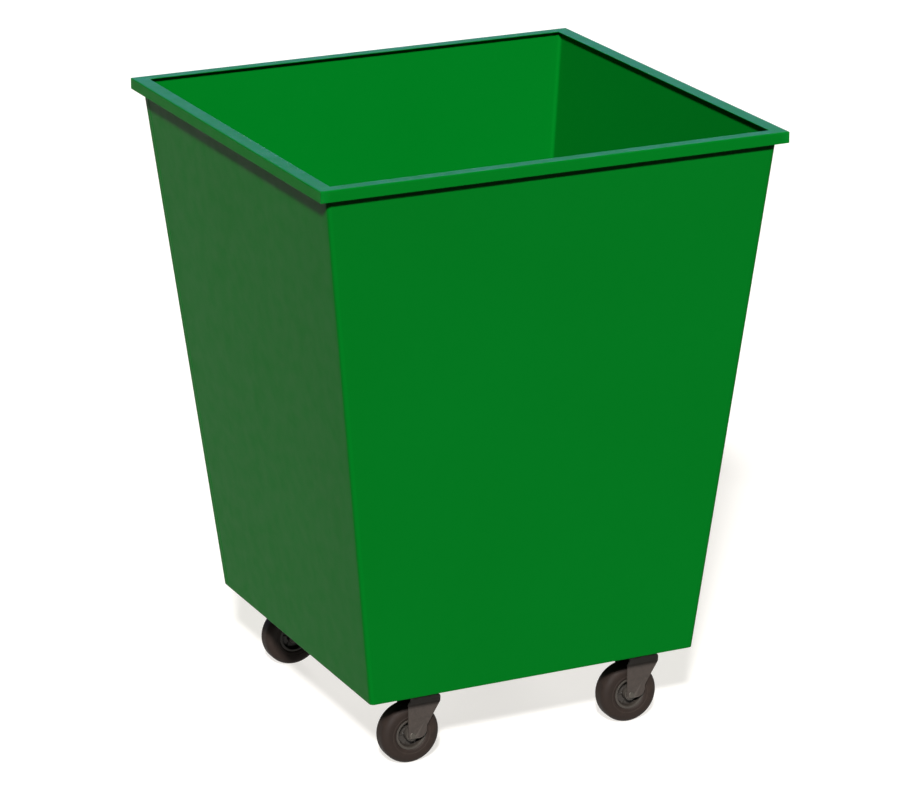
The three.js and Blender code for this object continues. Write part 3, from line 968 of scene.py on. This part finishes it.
def bearing_mesh():
    half = size(FIRST + "wheel_bearing").y / 2
    outer = size(FIRST + "wheel_bearing").z / 2
    profile = rounded([(AXLE_HOLE, -half, 0.4 * MM), (outer, -half, 0.4 * MM),
                       (outer, half, 0.4 * MM), (AXLE_HOLE, half, 0.4 * MM)], 3)
    return mesh_from(lathe([tuple(p) for p in profile], 40, "Y"), "wheel_bearing")


def smooth_step(value, low, high):
    share = min(1.0, max(0.0, (value - low) / (high - low)))
    return share * share * (3 - 2 * share)


def core_section(web):
    """Half of the core's section at one angle, (radius, distance from the middle), for a web that deep."""
    outer = size(FIRST + "wheel_core").z / 2
    boss_half = size(FIRST + "wheel_core").y / 2
    rim_half, rim_inner, boss = 20 * MM, 28 * MM, 13 * MM
    bore = size(FIRST + "wheel_bearing").z / 2 + GAP
    return [
        (bore, boss_half - 0.4 * MM), (bore + 0.4 * MM, boss_half), (boss - 1.6 * MM, boss_half),
        (boss - 0.5 * MM, boss_half - 0.4 * MM), (boss, boss_half - 1.5 * MM),
        (boss + 0.4 * MM, web + 2 * MM), (boss + 1 * MM, web + 0.7 * MM), (boss + 2.2 * MM, web),
        (rim_inner - 4.8 * MM, web), (rim_inner - 3.6 * MM, web + 0.6 * MM),
        (rim_inner - 2.8 * MM, web + 1.8 * MM),
        (rim_inner - 0.9 * MM, rim_half - 1.8 * MM), (rim_inner - 0.2 * MM, rim_half - 0.5 * MM),
        (rim_inner + 0.8 * MM, rim_half), (outer - 1 * MM, rim_half),
        (outer - 0.2 * MM, rim_half - 0.3 * MM), (outer, rim_half - 1 * MM),
    ]


def core_mesh():
    """A wheel core with six ribs between its boss and its rim."""
    steps, ribs = 180, 6
    web, rib = 9 * MM, 11 * MM
    bm = bmesh.new()
    loops = []
    for step in range(steps):
        angle = TAU * step / steps
        off_rib = abs((angle * ribs / TAU + 0.5) % 1 - 0.5) * TAU / ribs
        deep = rib + (web - rib) * smooth_step(off_rib, math.radians(5), math.radians(9))
        half = core_section(deep)
        section = [(r, -y) for r, y in half] + list(reversed(half))
        loops.append([bm.verts.new((r * math.cos(angle), y, r * math.sin(angle))) for r, y in section])
    skin(bm, loops, ring=True)
    return mesh_from(bm, "wheel_core")


def tyre_mesh():
    """A solid rubber tyre: beads against the core, moulded rings on the walls and round shoulders."""
    bore = size(FIRST + "wheel_core").z / 2 + GAP
    tread_half, shoulder_depth = 7.5 * MM, 14 * MM
    groove = bore + 7 * MM
    half = [
        (bore, TYRE_HALF - 3.6 * MM), (bore + 0.5 * MM, TYRE_HALF - 2.9 * MM),
        (bore + 1.5 * MM, TYRE_HALF - 2.3 * MM), (bore + 3 * MM, TYRE_HALF - 1.7 * MM),
        (bore + 4.6 * MM, TYRE_HALF - 1.3 * MM),
        (groove - 0.7 * MM, TYRE_HALF - 1.05 * MM), (groove - 0.3 * MM, TYRE_HALF - 1.6 * MM),
        (groove + 0.3 * MM, TYRE_HALF - 1.6 * MM), (groove + 0.7 * MM, TYRE_HALF - 0.8 * MM),
        (bore + 10 * MM, TYRE_HALF - 0.4 * MM), (bore + 13 * MM, TYRE_HALF - 0.1 * MM),
    ]
    steps = 16
    for step in range(steps + 1):
        angle = math.pi / 2 * step / steps
        radius = WHEEL_RADIUS - shoulder_depth * (1 - math.sin(angle))
        half.append((radius, tread_half + (TYRE_HALF - tread_half) * math.cos(angle)))
    half.append((WHEEL_RADIUS, 0.5 * MM))
    profile = [(r, -y) for r, y in half] + list(reversed(half))
    return mesh_from(lathe(profile, 144, "Y"), "tyre")


def make_casters():
    """Each caster piece is one mesh, shared by the four casters."""
    on_swivel = {
        "kingpin": ("tub", "zinc_steel", kingpin_mesh()),
        "kingpin_nut": ("tub", "zinc_steel", kingpin_nut_mesh()),
        "lower_cup": ("tub", "dark_steel", cup_mesh()),
        "caster_plate": ("tub", "dark_steel", plate_mesh()),
        "mounting_pad": ("tub", "green_paint", pad_mesh()),
        "pad_weld": ("tub", "green_paint", pad_weld_mesh()),
        "studs": ("tub", "zinc_steel", studs_mesh()),
        "plate_nuts": ("tub", "zinc_steel", plate_nuts_mesh()),
        "upper_ball_ring": ("swivel", "zinc_steel", ball_ring_mesh("upper_ball_ring", 20)),
        "lower_ball_ring": ("swivel", "zinc_steel", ball_ring_mesh("lower_ball_ring", 20)),
        "fork": ("swivel", "dark_steel", fork_mesh()),
    }
    on_axle = {
        "axle": ("swivel", "zinc_steel", axle_mesh()),
        "axle_nut": ("swivel", "zinc_steel", axle_nut_mesh()),
        "wheel_bearing": ("wheel", "zinc_steel", bearing_mesh()),
        "wheel_core": ("wheel", "grey_core", core_mesh()),
        "tyre": ("wheel", "black_rubber", tyre_mesh()),
    }
    for place in PLACES:
        axis = middle(place + "_kingpin")
        axle = middle(place + "_tyre")
        spots = ((on_swivel, Vector((axis.x, axis.y, 0))), (on_axle, axle))
        for parts, spot in spots:
            for part, (body, finish, mesh) in parts.items():
                body_name = "tub" if body == "tub" else f"{place}_{body}"
                node = f"{place}_{part}"
                replaced = [node] if node in frame["nodes"] else []
                piece(node + "_shape", mesh.copy(), body_name, finish, spot, replaced)


# ------------------------------------------------------------------ floor, light and view

FLOOR_COLOUR = (0.375, 0.365, 0.35)
FLOOR_GLOW = 1.95
STUDIO_COLOUR = (0.93, 0.97, 1.0)
STUDIO_SEEN = 0.95
STUDIO_DIM = 0.02

# Each light stands at (azimuth, elevation) in degrees; azimuth 0 is in front, and grows to the right.
KEY_AT = (-27.5, 37.5)
KEY_STRENGTH = 5.3
FILL_AT = (150, 12)
FILL_STRENGTH = 2.6
SOFTBOX_AT = (155, 20)
SOFTBOX_POWER = 385
SOFTBOX_COLOUR = (0.26, 0.33, 1.0)
LIT_PLACE = Vector((0, 0, 0.7))


def make_floor():
    """A plain pale floor that glows a little, so that shadows on it stay light. It lights nothing."""
    reach = 40
    bm = bmesh.new()
    bm.faces.new([bm.verts.new((x * reach, y * reach, 0)) for x, y in ((-1, -1), (1, -1), (1, 1), (-1, 1))])
    mesh = bpy.data.meshes.new("floor")
    bm.to_mesh(mesh)
    bm.free()
    m = Nodes("floor")
    m.shader.inputs["Roughness"].default_value = 1.0
    m.shader.inputs["Specular IOR Level"].default_value = 0.0
    m.shader.inputs["Base Color"].default_value = (*FLOOR_COLOUR, 1)
    m.shader.inputs["Emission Color"].default_value = (*FLOOR_COLOUR, 1)
    m.shader.inputs["Emission Strength"].default_value = FLOOR_GLOW
    mesh.materials.append(m.material)
    floor = bpy.data.objects.new("floor", mesh)
    floor.visible_diffuse = False
    bpy.context.scene.collection.objects.link(floor)


def towards(azimuth, elevation):
    """The direction of a place seen from the middle of the scene."""
    a, e = math.radians(azimuth), math.radians(elevation)
    return Vector((math.sin(a) * math.cos(e), -math.cos(a) * math.cos(e), math.sin(e)))


def add_light(name, kind, place, distance, **settings):
    direction = towards(*place)
    data = bpy.data.lights.new(name, kind)
    for key, value in settings.items():
        setattr(data, key, value)
    light = bpy.data.objects.new(name, data)
    turn = direction.to_track_quat("Z", "Y").to_matrix().to_4x4()
    light.matrix_world = Matrix.Translation(LIT_PLACE + direction * distance) @ turn
    bpy.context.scene.collection.objects.link(light)
    return light


def make_world():
    """A pale studio: bright where the camera sees it, dim as a source of light."""
    world = bpy.data.worlds.new("studio")
    world.use_nodes = True
    tree = world.node_tree
    output = tree.nodes["World Output"]
    seen = tree.nodes["Background"]
    seen.inputs["Color"].default_value = (*STUDIO_COLOUR, 1)
    seen.inputs["Strength"].default_value = STUDIO_SEEN
    dim = tree.nodes.new("ShaderNodeBackground")
    dim.inputs["Color"].default_value = (*STUDIO_COLOUR, 1)
    dim.inputs["Strength"].default_value = STUDIO_DIM
    path = tree.nodes.new("ShaderNodeLightPath")
    mix = tree.nodes.new("ShaderNodeMixShader")
    tree.links.new(path.outputs["Is Camera Ray"], mix.inputs["Fac"])
    tree.links.new(dim.outputs["Background"], mix.inputs[1])
    tree.links.new(seen.outputs["Background"], mix.inputs[2])
    tree.links.new(mix.outputs["Shader"], output.inputs["Surface"])
    bpy.context.scene.world = world


def make_light():
    """A key sun in front, a soft fill sun behind, and a tinted panel that only reflections see."""
    add_light("key", "SUN", KEY_AT, 8, energy=KEY_STRENGTH, angle=math.radians(5))
    fill = add_light("fill", "SUN", FILL_AT, 8, energy=FILL_STRENGTH, angle=math.radians(25))
    fill.visible_glossy = False
    softbox = add_light("softbox", "AREA", SOFTBOX_AT, 6.5, energy=SOFTBOX_POWER, shape="RECTANGLE",
                        size=9, size_y=4, color=SOFTBOX_COLOUR)
    softbox.visible_diffuse = False
    softbox.visible_camera = False
    view = bpy.context.scene.view_settings
    view.view_transform = "Standard"
    view.look = "None"


def finish_remaining_nodes():
    """The CAD nodes that stay get the procedural finish of their slot."""
    slots = {part["node"]: part["material_slot"] for part in frame["record"]["subparts"]}
    for name, obj in frame["nodes"].items():
        if obj.hide_render:
            continue
        for index in range(len(obj.material_slots)):
            obj.material_slots[index].material = MATERIALS[slots[name]]


make_camera()
make_world()
make_light()
make_floor()
make_tub()
make_casters()
finish_remaining_nodes()
